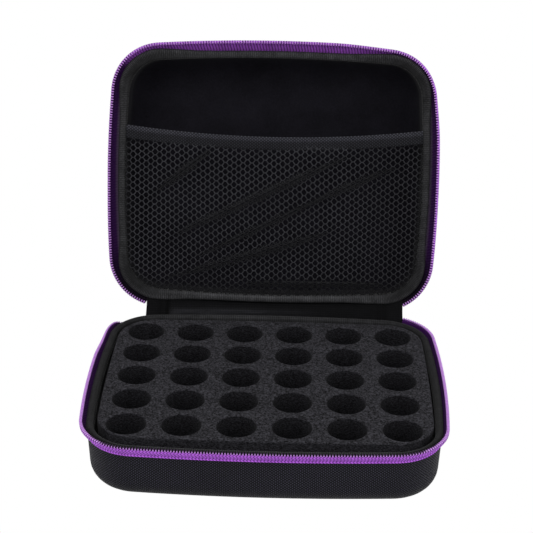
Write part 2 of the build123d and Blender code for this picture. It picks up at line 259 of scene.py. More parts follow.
def walk(arcs, inset, pitch):
    """Places along the arcs, evenly spaced: point in the plane, and angle of the way outward."""
    lengths = [abs(turn) * (radius - inset) for _, radius, _, turn in arcs]
    count = int(sum(lengths) / pitch)
    gap = sum(lengths) / count
    places, index, passed = [], 0, 0.0
    for number in range(count):
        run = (number + 0.5) * gap
        while run > passed + lengths[index]:
            passed += lengths[index]
            index += 1
        share = (run - passed) / lengths[index]
        _, _, start, turn = arcs[index]
        places.append((on_arc(arcs[index], share, inset, 0), start + share * turn))
    return places


def rounded(corner, before, after, radius, steps):
    """Points of the arc that rounds one corner of a drawn line, all in two dimensions."""
    corner, before, after = Vector(corner), Vector(before), Vector(after)
    a = (before - corner).normalized()
    b = (after - corner).normalized()
    half = a.angle(b) / 2
    middle = corner + (a + b).normalized() * radius / sin(half)
    first = corner + a * radius / (sin(half) / cos(half)) - middle
    last = corner + b * radius / (sin(half) / cos(half)) - middle
    turn = atan2(first.cross(last), first.dot(last))
    points = []
    for step in range(steps + 1):
        angle = turn * step / steps
        x = first.x * cos(angle) - first.y * sin(angle)
        y = first.x * sin(angle) + first.y * cos(angle)
        points.append((middle.x + x, middle.y + y))
    return points


def outward(point, arcs):
    """Direction away from the case, square to the nearest arc."""

    def off(arc):
        (cx, cy), radius, _, _ = arc
        return abs(hypot(point.x - cx, point.y - cy) - radius)

    cx, cy = min(arcs, key=off)[0]
    return Vector((point.x - cx, point.y - cy, 0)).normalized()


def left_over(point, arcs):
    """How far along the zip it still is to the left end of the hinge strip."""
    return whole_run(arcs) - run_at(point, arcs)


def back_y(x, inset):
    """How far back the outline at this inset reaches at x, over the back and its corners."""
    arcs = rim_arcs()
    (corner_x, corner_y), corner, _, _ = arcs[1]
    (_, end_y), end_radius, _, _ = arcs[2]
    corner, end_radius = corner - inset, end_radius - inset
    if abs(x) <= corner_x * end_radius / (end_radius - corner):
        return end_y + sqrt(end_radius**2 - x**2)
    return corner_y + sqrt(corner**2 - (abs(x) - corner_x) ** 2)


def eased(value, start, end):
    """0 up to the start, 1 from the end, both in millimetres, and a smooth rise between."""
    share = min(max((value - start * MM) / (end * MM - start * MM), 0.0), 1.0)
    return share * share * (3 - 2 * share)


def bell(value):
    """1 at nought, falling to 0 on both sides."""
    return 1 / (1 + value * value) ** 2


def at_front(point):
    """1 along the front, which is the open lid's top, and 0 along the sides."""
    return eased(-point.y, 84, 100)


def at_right(point):
    """1 at the right side, 0 from the middle to the left."""
    return eased(point.x, 60, 110)


def pick(*pieces):
    """Selects these pieces alone, and makes the last one active."""
    bpy.ops.object.select_all(action="DESELECT")
    for piece in pieces:
        piece.select_set(True)
        bpy.context.view_layer.objects.active = piece


def place(piece):
    """Puts a piece's place, turn and size into its mesh."""
    pick(piece)
    bpy.ops.object.transform_apply(location=True, rotation=True, scale=True)


def named(name):
    """Names the active piece and its mesh."""
    piece = bpy.context.object
    piece.name = piece.data.name = name
    return piece


def extrude(step):
    """Extrudes what is selected by one step."""
    bpy.ops.mesh.extrude_region_move(TRANSFORM_OT_translate={"value": step})


def edit(action="SELECT"):
    """Starts editing the active piece, with all or none of it selected."""
    bpy.ops.object.mode_set(mode="EDIT")
    bpy.ops.mesh.select_all(action=action)


def leave():
    """Ends the editing."""
    bpy.ops.object.mode_set(mode="OBJECT")


def draw(name, points):
    """Draws a line by extruding one vertex from point to point, and stays in edit mode."""
    pick()
    bpy.ops.mesh.primitive_plane_add(size=MM, location=points[0])
    piece = named(name)
    place(piece)
    edit()
    bpy.ops.mesh.merge(type="CENTER")
    for here, there in zip(points, points[1:]):
        extrude(Vector(there) - Vector(here))
    return piece


def pull_out(step, count):
    """Extrudes the whole drawn line, step after step."""
    bpy.ops.mesh.select_all(action="SELECT")
    for _ in range(count):
        extrude(step)


def spin(steps, angle, x=0.0, y=0.0):
    """Spins the whole drawn line about an upright axis."""
    bpy.ops.mesh.select_all(action="SELECT")
    bpy.ops.mesh.spin(steps=steps, angle=angle, center=(x, y, 0), axis=(0, 0, 1))


def close_up(angle=radians(40), caps=True):
    """Joins the seam, fills open ends, turns faces outwards and shades the piece."""
    bpy.ops.mesh.select_all(action="SELECT")
    bpy.ops.mesh.remove_doubles(threshold=SEAM)
    if caps:
        bpy.ops.mesh.select_all(action="DESELECT")
        bpy.ops.mesh.select_non_manifold()
        bpy.ops.mesh.fill_holes(sides=0)
        bpy.ops.mesh.select_all(action="SELECT")
    bpy.ops.mesh.normals_make_consistent(inside=False)
    leave()
    bpy.ops.object.shade_smooth_by_angle(angle=angle)
    return bpy.context.object


def sweep(name, half, profile, arcs, step, corner_step, closed=False, caps=True):
    """A profile of (inset, drop) points, spun along each arc in turn."""
    points = [on_arc(arcs[0], 0, inset, level(half, drop)) for inset, drop in profile]
    draw(name, points + points[:1] if closed else points)
    bpy.ops.mesh.select_all(action="SELECT")
    for centre, radius, _, turn in arcs:
        pace = step if radius > sizes().zip_corner * 2 else corner_step
        steps = max(2, ceil(abs(turn) * radius / pace))
        bpy.ops.mesh.spin(steps=steps, angle=-turn, center=(*centre, 0), axis=(0, 0, 1))
    return close_up(caps=caps)


def lay_out(piece, chart):
    """Gives a piece the UV map that its weave follows: chart(point, lies flat) in metres."""
    mesh = piece.data
    layer = mesh.uv_layers.new(name="Weave")
    total = whole_run(rim_arcs())
    cache = {}
    for face in mesh.polygons:
        flat = abs(face.normal.z) > 0.8
        places = []
        for loop in face.loop_indices:
            key = (mesh.loops[loop].vertex_index, flat)
            if key not in cache:
                cache[key] = chart(mesh.vertices[key[0]].co, flat)
            places.append([loop, *cache[key]])
        if max(u for _, u, _ in places) - min(u for _, u, _ in places) > total / 2:
            for corner in places:
                corner[1] += total if corner[1] < total / 2 else 0
        for loop, u, v in places:
            layer.data[loop].uv = (u, v)


def paint(piece, rule, name="Shade"):
    """Paints a value on each point of a piece. The shade 1 is the finish's own colour."""
    layer = piece.data.attributes.new(name, "FLOAT", "POINT")
    for vertex in piece.data.vertices:
        layer.data[vertex.index].value = rule(vertex.co)


def open_lid(piece):
    """Swings a shut piece of the lid open about the hinge line."""
    s = sizes()
    hinge = Vector((0, s.zip_depth / 2 - s.hinge_inset, s.base_height))
    there, back = Matrix.Translation(hinge), Matrix.Translation(-hinge)
    piece.matrix_world = there @ Matrix.Rotation(-s.opening, 4, "X") @ back
    place(piece)


def finish_with(piece, material):
    """Gives a piece this material alone."""
    piece.data.materials.clear()
    piece.data.materials.append(material)


def settle(piece, half, material, slot, *nodes):
    """Opens a lid piece, gives it its finish and its body, and hides the solids it stands for."""
    if half.side > 0:
        open_lid(piece)
    finish_with(piece, material)
    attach(piece, half.name)
    if nodes:
        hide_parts(*nodes)


def apply_modifier(piece, kind, **settings):
    """Adds a modifier, sets it and applies it."""
    pick(piece)
    modifier = piece.modifiers.new(kind.title(), kind)
    for key, value in settings.items():
        setattr(modifier, key, value)
    bpy.ops.object.modifier_apply(modifier=modifier.name)


def join(pieces, name):
    """Joins pieces into the last one, under a new name."""
    pick(*pieces)
    bpy.ops.object.join()
    joined = named(name)
    place(joined)
    return joined


def scatter(model, places, name):
    """Copies a small model to each matrix, each with its own mesh, and joins the copies."""
    copies = []
    for matrix in places:
        copy = model.copy()
        copy.data = model.data.copy()
        copy.matrix_world = matrix
        bpy.context.collection.objects.link(copy)
        copies.append(copy)
    joined = join(copies, name)
    bpy.data.objects.remove(model)
    return joined


def bar(name, size, round_off):
    """A small block with bevelled edges, centred on the origin."""
    pick()
    bpy.ops.mesh.primitive_cube_add(size=1)
    piece = named(name)
    piece.scale = size
    place(piece)
    edit()
    bpy.ops.mesh.bevel(offset=round_off, segments=1, affect="EDGES")
    leave()
    bpy.ops.object.shade_smooth()
    return piece


def row(model, arcs, inset, height, pitch, name):
    """Copies a model along the arcs, each copy upright with its y outwards."""
    places = [
        Matrix.Translation((point.x, point.y, height)) @ Matrix.Rotation(angle - pi / 2, 4, "Z")
        for point, angle in walk(arcs, inset, pitch)
    ]
    return scatter(model, places, name)


class Nodes:
    """A short hand for the nodes of a material or a world."""

    def __init__(self, owner):
        owner.use_nodes = True
        self.tree = owner.node_tree

    def feed(self, source, target):
        """Links a socket to another, or gives it a value."""
        if isinstance(source, bpy.types.NodeSocket):
            self.tree.links.new(source, target)
        else:
            target.default_value = source

    def add(self, kind, output=0, inputs=None, **settings):
        """Adds a node with its settings and inputs, and gives one of its outputs."""
        node = self.tree.nodes.new(kind)
        for key, value in settings.items():
            setattr(node, key, value)
        for key, value in (inputs or {}).items():
            self.feed(value, node.inputs[key])
        return node.outputs[output]


class Finish(Nodes):
    """A material under construction."""

    def __init__(self, name, base, roughness, sheen=0.0, specular=0.5, coat=0.0, metal=0.0):
        self.material = bpy.data.materials.new(name)
        super().__init__(self.material)
        self.inputs = self.tree.nodes["Principled BSDF"].inputs
        self.base = base
        self.bump = None
        self.give("Base Color", (*base, 1))
        self.give("Roughness", roughness)
        self.give("Sheen Weight", sheen)
        self.give("Specular IOR Level", specular)
        self.give("Coat Weight", coat)
        self.give("Metallic", metal)

    def give(self, key, value):
        """Sets one of the finish's own inputs."""
        self.feed(value, self.inputs[key])

    def maths(self, operation, *values):
        return self.add("ShaderNodeMath", inputs=dict(enumerate(values)), operation=operation)

    def times(self, first, second):
        return self.maths("MULTIPLY", first, second)

    def plus(self, first, second):
        return self.maths("ADD", first, second)

    def measured(self, source, *unit):
        """Coordinates in steps of so many millimetres."""
        scale = [1 / (MM * value) for value in unit]
        return self.add("ShaderNodeMapping", inputs={"Vector": source, "Scale": scale})

    def in_space(self, *unit):
        return self.measured(self.add("ShaderNodeTexCoord", "Object"), *unit)

    def on_weave(self, across, up):
        """Counts threads of this width and this height over the weave map."""
        weave = self.add("ShaderNodeUVMap", uv_map="Weave")
        return self.split(self.measured(weave, across, up, 1))[:2]

    def split(self, vector):
        return list(self.add("ShaderNodeSeparateXYZ", inputs={0: vector}).node.outputs)

    def noise(self, scale, detail=3.0, roughness=0.6, where=None):
        """Noise with so many lumps to the millimetre."""
        inputs = {"Scale": scale, "Detail": detail, "Roughness": roughness}
        inputs["Vector"] = self.in_space(1, 1, 1) if where is None else where
        return self.add("ShaderNodeTexNoise", "Fac", inputs)

    def thread(self, value):
        """Round thread once per unit: 0 at its sides, 1 along its middle."""
        return self.maths("ABSOLUTE", self.maths("SINE", self.times(value, pi)))

    def basket(self, across, up, weft_share=1.0):
        """Height of a plain weave, one thread over and one under."""
        count = self.plus(self.maths("FLOOR", across), self.maths("FLOOR", up))
        odd = self.maths("ABSOLUTE", self.maths("MODULO", count, 2))
        even = self.maths("SUBTRACT", 1, odd)
        weft = self.times(self.times(self.thread(up), even), weft_share)
        return self.plus(self.times(self.thread(across), odd), weft)

    def raise_by(self, height, tall, strength):
        """Bumps of a height in millimetres, on top of those already there."""
        inputs = {"Distance": tall * MM, "Strength": strength, "Height": height}
        if self.bump is not None:
            inputs["Normal"] = self.bump
        self.bump = self.add("ShaderNodeBump", "Normal", inputs)
        self.give("Normal", self.bump)

    def rough(self, value, low, high):
        limits = {"Value": value, "To Min": low, "To Max": high}
        self.give("Roughness", self.add("ShaderNodeMapRange", "Result", limits))

    def tint(self, value, low, high, start=0.0, end=1.0):
        """Colour from a value: the finish's colour times low, up to times high."""
        tinted = self.add("ShaderNodeValToRGB", "Color", {"Fac": value})
        for stop, where, share in zip(tinted.node.color_ramp.elements, (start, end), (low, high)):
            stop.position = where
            stop.color = (*[min(c * share, 1) for c in self.base], 1)
        self.give("Base Color", tinted)

    def coloured(self):
        """What is linked to the colour so far."""
        return self.inputs["Base Color"].links[0].from_socket

    def painted(self, name):
        return self.add("ShaderNodeAttribute", "Fac", attribute_name=name)

    def shaded(self):
        """Multiplies the colour by the light and dark painted on the piece."""
        inputs = {0: self.coloured(), "Scale": self.painted("Shade")}
        self.give("Base Color", self.add("ShaderNodeVectorMath", 0, inputs, operation="SCALE"))


def nylon():
    """Coarse woven nylon of the shells."""
    finish = Finish("woven_nylon", colours().nylon, 0.62, sheen=0.02, specular=0.1)
    weave = finish.basket(*finish.on_weave(1.3, 1.05), weft_share=0.15)
    wear = finish.noise(0.02)
    dots = finish.times(weave, weave)
    finish.tint(finish.times(dots, finish.plus(wear, 0.4)), 0.35, 5.5)
    finish.shaded()
    finish.raise_by(weave, 0.3, 0.8)
    finish.raise_by(wear, 0.6, 0.5)
    finish.rough(weave, 0.72, 0.5)
    return finish.material


def felt():
    """Brushed lining."""
    finish = Finish("brushed_lining", colours().lining, 0.9, sheen=0.05, specular=0.07)
    nap = finish.noise(0.7, 4)
    cloud = finish.noise(0.04)
    finish.tint(finish.plus(finish.times(nap, 0.5), finish.times(cloud, 0.5)), 0.6, 1.6, 0.3, 0.7)
    finish.raise_by(nap, 0.2, 0.6)
    return finish.material


def ribbed():
    """Binding tape, ribbed across its length."""
    finish = Finish("binding_tape", colours().binding, 0.75, sheen=0.06, specular=0.12)
    x, y = finish.on_weave(1.5, 1.2)
    rib = finish.plus(finish.thread(x), finish.times(finish.basket(x, y), 0.6))
    cloud = finish.noise(0.15)
    finish.tint(finish.times(rib, cloud), 0.3, 2.2, 0.1, 1.0)
    finish.shaded()
    finish.raise_by(rib, 0.15, 0.8)
    finish.raise_by(cloud, 0.8, 0.5)
    return finish.material


def zip_cloth():
    """Zip tape: a herringbone twill outside, painted shade on its inside, and grey along its sewn
    edge.
    """
    finish = Finish("zip_tape", colours().tape, 0.6, sheen=0.04, specular=0.1)
    x, y = finish.on_weave(1.0, 1.0)
    zigzag = finish.maths("PINGPONG", y, 1.3)
    twill = finish.thread(finish.times(finish.plus(x, zigzag), 0.43))
    cloud = finish.noise(0.08)
    finish.tint(finish.times(twill, finish.plus(cloud, 0.5)), 0.25, 1.6)
    # Painted shade on the tape's inside, by drop in centimetres: purple by the teeth, dark purple
    # lower down, grey by the sewn edge.
    inside = finish.add("ShaderNodeValToRGB", "Color", {"Fac": finish.times(y, 0.1)})
    for centimetres, shade in (
        (0.14, (0.12, 0.025, 0.22)),
        (0.34, (0.035, 0.003, 0.07)),
        (0.567, (0.020, 0.001, 0.042)),
        (0.60, (0.024, 0.002, 0.045)),
        (0.635, (0.065, 0.045, 0.08)),
        (0.69, (0.05, 0.04, 0.06)),
    ):
        inside.node.color_ramp.elements.new(centimetres).color = (*shade, 1)
    inputs = {"Factor": finish.painted("Inside"), 6: finish.coloured(), 7: inside}
    finish.give("Base Color", finish.add("ShaderNodeMix", 2, inputs, data_type="RGBA"))
    finish.shaded()
    finish.raise_by(twill, 0.25, 0.9)
    return finish.material


def tooth_plastic():
    """Moulded teeth."""
    finish = Finish("zip_teeth", colours().teeth, 0.4, specular=0.25, coat=0.05)
    speck = finish.noise(0.5)
    finish.tint(speck, 0.85, 1.15)
    finish.shaded()
    finish.rough(speck, 0.35, 0.55)
    return finish.material


def foam_finish():
    """Closed-cell foam: fine cells, cut faces."""
    finish = Finish("closed_cell_foam", colours().foam, 0.85, sheen=0.03, specular=0.08)
    where = finish.in_space(1, 1, 0.35)
    lumps = finish.add("ShaderNodeTexVoronoi", "Distance", {"Scale": 0.75, "Vector": where})
    cell = finish.times(lumps, 0.35)
    grain = finish.times(finish.noise(0.6, 3, 0.75, where), 0.75)
    mixed = finish.plus(cell, grain)
    finish.tint(mixed, 0.05, 2.5, 0.42, 0.74)
    finish.shaded()
    finish.raise_by(mixed, 0.4, 0.9)
    return finish.material


def strip_cloth():
    """Woven strip of the hinge."""
    finish = Finish("hinge_cloth", colours().strip, 0.8, sheen=0.02, specular=0.06)
    x, _, z = finish.split(finish.in_space(1.3, 1, 1.3))
    weave = finish.basket(x, z)
    cloud = finish.noise(0.07)
    finish.tint(finish.times(weave, finish.plus(cloud, 0.5)), 0.4, 1.9)
    finish.shaded()
    finish.raise_by(weave, 0.15, 0.7)
    finish.raise_by(cloud, 1.0, 0.6)
    return finish.material


def net_yarn():
    """Knitted yarn of the net."""
    finish = Finish("net_yarn", colours().net, 0.7, sheen=0.05, specular=0.15)
    fibre = finish.noise(0.8, 4)
    finish.tint(fibre, 0.4, 1.8, 0.3, 0.7)
    finish.shaded()
    finish.raise_by(fibre, 0.15, 0.8)
    return finish.material


def elastic():
    """Ribbed elastic of the hem."""
    finish = Finish("hem_elastic", colours().elastic, 0.75, sheen=0.06, specular=0.12)
    knit = finish.basket(*finish.on_weave(1.4, 1.1), weft_share=0.2)
    cloud = finish.noise(0.2)
    finish.tint(finish.times(knit, finish.plus(cloud, 0.5)), 0.3, 4.0)
    finish.shaded()
    finish.raise_by(knit, 0.15, 0.8)
    return finish.material


def lacquer():
    """Black lacquer on metal, worn at its high spots."""
    finish = Finish("black_lacquer", colours().lacquer, 0.3, specular=0.5, coat=0.4, metal=0.35)
    scuff = finish.noise(0.6, 5, 0.7)
    finish.tint(scuff, 0.6, 2.4, 0.4, 0.8)
    finish.rough(scuff, 0.22, 0.5)
    finish.raise_by(scuff, 0.04, 0.6)
    return finish.material


def thread_finish():
    """Sewing thread, a little lighter than the binding."""
    finish = Finish("sewing_thread", [c * 1.4 for c in colours().binding], 0.6, sheen=0.2)
    finish.tint(finish.noise(2.0), 0.6, 1.6)
    return finish.material


def bowl_profile(half, depth):
    """Wall, rounded edge and the start of the floor, `depth` into the shell."""
    s = sizes()
    floor = half.height - depth
    rim = (wall_inset(half, s.rim_drop, depth), s.rim_drop)
    corner = (wall_inset(half, floor, depth), floor)
    inner = (corner[0] + FLOOR_RING, floor)
    return [rim, *rounded(corner, rim, inner, s.edge_round - depth, 8), inner]


def bowl(name, half, outside, inside):
    """The shell between two depths, with a floor on both faces."""
    profile = bowl_profile(half, outside)[::-1] + bowl_profile(half, inside)
    return sweep(name, half, profile, rim_arcs(), 5 * MM, 2.5 * MM)


def shell_chart(half):
    """Weave over wall and rounded edge along the outline, and straight across the floor."""
    arcs = rim_arcs()
    radius = sizes().edge_round

    def chart(point, flat):
        if flat:
            return point.x, point.y
        rise = half.height - drop_of(point)
        if rise >= radius:
            return run_at(point, arcs), -rise
        turned = acos(max(-1.0, 1 - rise / radius))
        return run_at(point, arcs), -radius * (1 - pi / 2 + turned)

    return chart


class CASE_OT_covers(bpy.types.Operator):
    """Models the padded nylon shells of base and lid"""

    bl_idname = "case.covers"
    bl_label = "Shell covers"

    def execute(self, context):
        finish = nylon()
        for half in halves():
            cover = bowl(f"{half.name}_cover", half, 0, sizes().wall)
            lay_out(cover, shell_chart(half))
            # Painted shade: each shell darker toward its floor, over the rounded edge.
            paint(cover, lambda point: 1 - 0.55 * eased(drop_of(point) - half.height, -17, -3))
            settle(cover, half, finish, "shell_nylon", f"{half.name}_shell")
        return {"FINISHED"}


class CASE_OT_linings(bpy.types.Operator):
    """Models the brushed linings"""

    bl_idname = "case.linings"
    bl_label = "Linings"

    def execute(self, context):
        s = sizes()
        finish = felt()
        clear = 0.05 * MM
        for half in halves():
            cloth = bowl(f"{half.name}_lining_cloth", half, s.wall + clear, s.wall + s.lining)
            settle(cloth, half, finish, "lining", f"{half.name}_lining")
        return {"FINISHED"}


class CASE_OT_bindings(bpy.types.Operator):
    """Models the binding tapes folded over the rims"""

    bl_idname = "case.bindings"
    bl_label = "Bindings"

    LEG = 0.7 * MM
    STITCH_DROP = 7.4 * MM

    def execute(self, context):
        finish, thread = ribbed(), thread_finish()
        for half in halves():
            name = f"{half.name}_binding"
            profile, arcs = self.profile(half), rim_arcs()
            steps = 4 * MM, 1.6 * MM
            tape = sweep(f"{name}_tape", half, profile, arcs, *steps, closed=True, caps=False)
            lay_out(tape, lambda point, flat: (run_at(point, arcs), point.z))
            paint(tape, lambda point: self.light(point, half))
            if half.side > 0:
                self.fill_corners(tape, half)
            settle(tape, half, finish, "binding", name)
            self.stitch(half, thread, f"{name}_stitches")
        return {"FINISHED"}

    def profile(self, half):
        """Folded tape: short outer leg, rounded crown, long inner leg with a turned edge."""
        s = sizes()
        rim = s.wall + s.lining
        inside = rim + self.LEG
        reach = rim / 2 + self.LEG
        tall, below = 1.2 * MM, 0.9 * MM
        shoulder = s.rim_drop + below
        underside = s.rim_drop + 0.02 * MM
        crown = [
            (rim / 2 + reach * sin(radians(a)), shoulder - (tall + below) * cos(radians(a)))
            for a in range(-75, 90, 15)
        ]
        line = [
            (-self.LEG, 5 * MM),
            (-self.LEG, shoulder),
            *crown,
            (inside, shoulder),
            (inside, 7.2 * MM),
            (inside + 0.15 * MM, 8.2 * MM),
            (inside + 0.2 * MM, 9.2 * MM),
            (inside - 0.1 * MM, 9.9 * MM),
            (rim + 0.02 * MM, 10 * MM),
            (rim, underside),
            (0, underside),
            (0, 5.1 * MM),
        ]
        return [(wall_inset(half, drop, depth), drop) for depth, drop in line]

    def light(self, point, half):
        """Light at the crown, darker outside; on the lid also deep inside and in its corners."""
        lid = half.side > 0
        front, back, sides = (1.2, 1.6, 0.98) if lid else (1.1, 0.8, 0.35)
        _, inset = beside(point, rim_arcs())
        beyond = eased(abs(point.x), 80, 118)
        along = (front if point.y < 0 else back) * (1 - beyond) + sides * beyond
        near_front = 0.0 if lid else eased(-point.y, 70, 98)
        edge = 0.2 + 1.6 * near_front
        outer = 1 - eased(inset - half.inset, edge - 0.7, edge + 0.7)
        deep = 0.0
        if lid:
            deep = eased(drop_of(point), 5.5, 8.5)
            along *= 1 - 0.65 * self.corner(point) * eased(inset, 8.5, 11)
        return along * (1 - 0.75 * outer) * (1 - 0.55 * deep)

    def corner(self, point):
        """1 in the lid's far corners, less in those at the hinge, 0 between."""
        ends = max(eased(-point.y, 40, 88), 0.9 * eased(point.y, 45, 85))
        return eased(abs(point.x), 42, 104) * ends

    def fill_corners(self, tape, half):
        """The lid's rim is fuller in its corners than the zip line."""
        arcs = rim_arcs()
        for vertex in tape.data.vertices:
            _, inset = beside(vertex.co, arcs)
            near = 1 - eased(inset - half.inset, 1.5, 4.6)
            reach = (3.8 if vertex.co.x < 0 else 3.1) * MM
            vertex.co += outward(vertex.co, arcs) * reach * near * self.corner(vertex.co)

    def stitch(self, half, thread, name):
        """A row of stitches along the inner leg."""
        s = sizes()
        inset = wall_inset(half, self.STITCH_DROP, s.wall + s.lining + self.LEG)
        model = bar("stitch", (s.stitch_pitch * 0.72, 0.42 * MM, 0.5 * MM), 0.16 * MM)
        height = level(half, self.STITCH_DROP)
        stitches = row(model, rim_arcs(), inset, height, s.stitch_pitch, name)
        settle(stitches, half, thread, "binding")


def spread(piece, half):
    """The free edge of a tape stands a little wide, most on the left. The lid's has one dent."""
    arcs = rim_arcs()
    lid = half.side > 0
    for vertex in piece.data.vertices:
        point = vertex.co
        free = 1 - eased(drop_of(point), 3, 6.5)
        if free:
            away = outward(point, arcs)
            ends = 0.5 * eased(point.y, 0, 80) + 0.5 * eased(-point.y, 60, 100)
            wide = (0.6 + ends) * MM if lid else 0.5 * MM
            out = away * wide
            out.x -= wide * eased(-point.x, 20, 90)
            if lid:
                dent = eased(point.x, 45, 105) * eased(-point.y, 30, 85)
                out -= away * 2.0 * MM * dent
            vertex.co = point + out * free


def droop(piece, half):
    """The base's tape leans in and is turned down beside the left end of the hinge strip."""
    if half.side > 0:
        return
    fold = sizes().base_height - TAPE_FOOT
    arcs = zip_arcs()
    (cx, cy), radius, _, _ = arcs[-1]
    foot = radius - wall_inset(half, TAPE_FOOT)
    for vertex in piece.data.vertices:
        left = left_over(vertex.co, arcs)
        lean = 1 - 0.5 * eased(90 * MM - left, 0, 62)
        share = eased(40 * MM - left, 0, 40)
        above = max(vertex.co.z - fold, 0)
        if lean < 1 and above:
            turn = share * radians(140)
            out = Vector((vertex.co.x - cx, vertex.co.y - cy, 0))
            away = (out.length - foot) * (lean - 0.22 * share)
            lifted = away * sin(-turn) + above * cos(turn)
            pushed = away * cos(turn) + (0.1 + 0.5 * share**2) * above * sin(turn)
            out = out.normalized() * (foot + pushed)
            vertex.co = Vector((cx + out.x, cy + out.y, fold + lifted))


class CASE_OT_zip_tapes(bpy.types.Operator):
    """Models the zip tapes round base and lid"""

    bl_idname = "case.zip_tapes"
    bl_label = "Zip tapes"

    # Painted shade on the tape's outside by drop in millimetres: dark by the teeth, a painted
    # highlight along the sewn edge and a painted shadow under it.
    BANDS = ((9.9, 0.3), (9, 1.5), (6, 0.9), (2, 1.0), (0, 0.2))

    def execute(self, context):
        finish = zip_cloth()
        arcs = zip_arcs()
        for half in halves():
            outer, inner = self.profile(half)
            profile = outer + inner
            tape = sweep(f"{half.name}_zip_cloth", half, profile, arcs, 4 * MM, 2 * MM, closed=True)
            lay_out(tape, lambda point, flat: (run_at(point, arcs), drop_of(point)))
            paint(tape, lambda point: self.inside(point, half, arcs, inner), "Inside")
            paint(tape, lambda point: self.light(point, half, arcs, inner))
            droop(tape, half)
            spread(tape, half)
            settle(tape, half, finish, "zip_tape", f"{half.name}_zip_tape")
        return {"FINISHED"}

    def profile(self, half):
        """Outer and inner line: flared from wall to teeth, lower edge sewn to the shell."""

        def free(*line):
            return [(inset * MM, drop * MM) for inset, drop in line]

        def sewn(*line):
            return [(wall_inset(half, drop * MM, -off * MM), drop * MM) for off, drop in line]

        outer = free((0.25, 1.9), (0.27, 2.4), (0.3, 3.4), (1.25, 5.2))
        outer += sewn((0.95, 7.4), (0.8, 8.6), (0.95, 9.3), (0.7, 10.0), (0.05, 10.2))
        inner = sewn((0.05, 6.9)) + free((2.0, 5.2), (1.4, 3.4), (1.25, 1.9))
        return [[(inset, drop - half.lift) for inset, drop in line] for line in (outer, inner)]

    def on_line(self, point, arcs, line):
        """Whether a point of the tape belongs to this line of its profile."""
        _, inset = beside(point, arcs)
        return any(hypot(inset - x, drop_of(point) - y) < 0.1 * MM for x, y in line)

    def inside(self, point, half, arcs, inner):
        """1 on the tape's inside, where it takes its painted shade, fading to 0 along the open
        lid's top, which is painted lit.
        """
        if not self.on_line(point, arcs, inner):
            return 0.0
        return 1 - at_front(point) if half.side > 0 else 1.0

    def light(self, point, half, arcs, inner):
        """Dark between the teeth and at the front's inside, light along the sewn edge."""
        drop = drop_of(point)
        if not self.on_line(point, arcs, inner):
            return next(shade for start, shade in self.BANDS if drop + half.lift >= start * MM)
        front = at_front(point)
        if half.side < 0:
            return (1 - 0.8 * front) * (1 - 0.85 * eased(44 * MM - left_over(point, arcs), 0, 20))
        back = eased(point.y, 50, 90)
        right = at_right(point) * (1 - front) * (1 - back)
        bright = 1 + 4 * right * (1 - eased(drop, 3, 4.6))
        return bright + (0.5 - 1.1 * eased(drop, 3.4, 5.6)) * front - 0.88 * back


class CASE_OT_zip_teeth(bpy.types.Operator):
    """Sets the rows of teeth on both tapes"""

    bl_idname = "case.zip_teeth"
    bl_label = "Zip teeth"

    def execute(self, context):
        finish = tooth_plastic()
        arcs = zip_arcs()
        for half in halves():
            long, tall, drop = (2.5, 1.7, 1.05) if half.side > 0 else (2.2, 1.45, 0.65)
            model = bar("tooth", (0.95 * MM, long * MM, tall * MM), 0.3 * MM)
            inset = 0.15 * MM + long * MM / 2
            height = level(half, drop * MM)
            teeth = row(model, arcs, inset, height, sizes().tooth_pitch, f"{half.name}_teeth_row")
            paint(teeth, lambda point: self.light(point, half, arcs))
            droop(teeth, half)
            spread(teeth, half)
            settle(teeth, half, finish, "zip_teeth", f"{half.name}_zip_teeth")
        return {"FINISHED"}

    def light(self, point, half, arcs):
        """Bright at the tips, dark toward the wall, soonest along the base's front."""
        lid = half.side > 0
        front = 0.0 if lid else at_front(point)
        right = at_right(point) if lid else 0.0
        turned = 0.0 if lid else eased(34 * MM - left_over(point, arcs), 0, 16)
        start = 2.1 - 2.0 * front + 0.5 * right
        dark = 0.92 * eased(beside(point, arcs)[1], start, start + 0.9 - 0.55 * front)
        return (1 - dark) * (1 - 0.7 * turned) * (1 + 0.4 * front)


